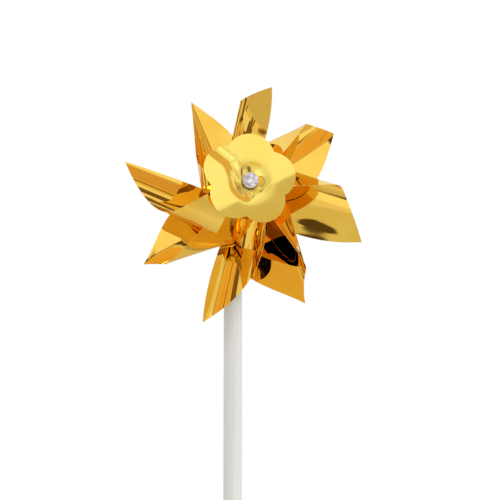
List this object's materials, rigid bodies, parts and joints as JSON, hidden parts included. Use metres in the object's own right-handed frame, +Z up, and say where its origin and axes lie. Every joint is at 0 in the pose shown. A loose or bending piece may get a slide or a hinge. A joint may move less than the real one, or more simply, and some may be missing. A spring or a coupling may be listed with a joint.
{
  "type": "pinwheel",
  "caption": "Hand-held pinwheel: curled foil blades and a foil flower turn on a pin through the top of a hollow plastic stick.",
  "frame": {"origin": "centre of the stick's bottom end", "axes": "+Z up the stick, wheel facing -Y on a pin that runs along Y, +X to the right seen from the front"},
  "size_m": [0.1124, 0.0501, 0.3462],
  "materials": {
    "stick_plastic": "smooth extruded tube",
    "pin_plastic": "glossy moulded",
    "bead_plastic": "moulded",
    "gold_foil": "mirror metallised film",
    "flower_foil": "pale mirror metallised film"
  },
  "bodies": {
    "stick": {"stick_tube": "stick_plastic", "axle_pin": "pin_plastic", "rear_cap": "pin_plastic"},
    "bead": {"rear_bead": "bead_plastic"},
    "wheel": {"rear_foil_sheet": "gold_foil", "front_foil_sheet": "gold_foil", "spacer_tube": "bead_plastic", "foil_flower": "flower_foil"}
  },
  "joints": [
    {"name": "wheel_spin", "type": "hinge", "parent": "stick", "child": "wheel", "pos_m": [0, -0.02, 0.29], "axis": [0, -1, 0], "continuous": true},
    {"name": "bead_spin", "type": "hinge", "parent": "stick", "child": "bead", "pos_m": [0, -0.0065, 0.29], "axis": [0, -1, 0], "continuous": true}
  ]
}
